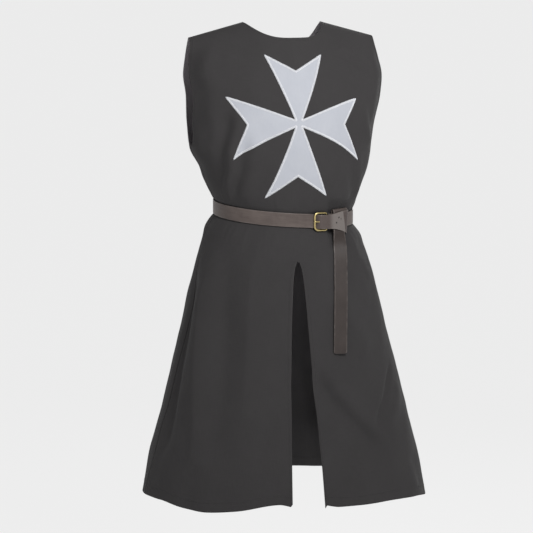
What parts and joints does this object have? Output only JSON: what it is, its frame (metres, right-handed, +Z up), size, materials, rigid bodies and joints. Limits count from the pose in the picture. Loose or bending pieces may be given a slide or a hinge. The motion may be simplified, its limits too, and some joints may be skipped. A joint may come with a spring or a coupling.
{
  "type": "belted sleeveless tunic",
  "caption": "Knee-length sleeveless costume tunic, filled out and hollow, with a light eight-pointed cross on the chest, a split front skirt and its own buckled leather belt",
  "frame": {"origin": "Midway between the two neck points of the shoulder seams, where the wearer's shoulders carry the tunic", "axes": "+Z up toward the neck, +X toward the wearer's left, -Y out of the front"},
  "size_m": [0.6605, 0.4004, 1.0822],
  "materials": {
    "cloth_front": "washed black plain weave cotton",
    "cloth_back": "washed black plain weave cotton",
    "applique": "pale grey white cloth with a satin-stitched edge",
    "strap_leather": "dark brown leather, satin",
    "tail_leather": "dark brown leather, satin",
    "buckle_brass": "polished cast brass",
    "prong_brass": "polished brass wire"
  },
  "bodies": {
    "root": {"front_panel": "cloth_front", "back_panel": "cloth_back", "cross_applique": "applique", "belt_strap": "strap_leather", "belt_tail": "tail_leather", "buckle_frame": "buckle_brass", "buckle_prong": "prong_brass"}
  },
  "joints": []
}
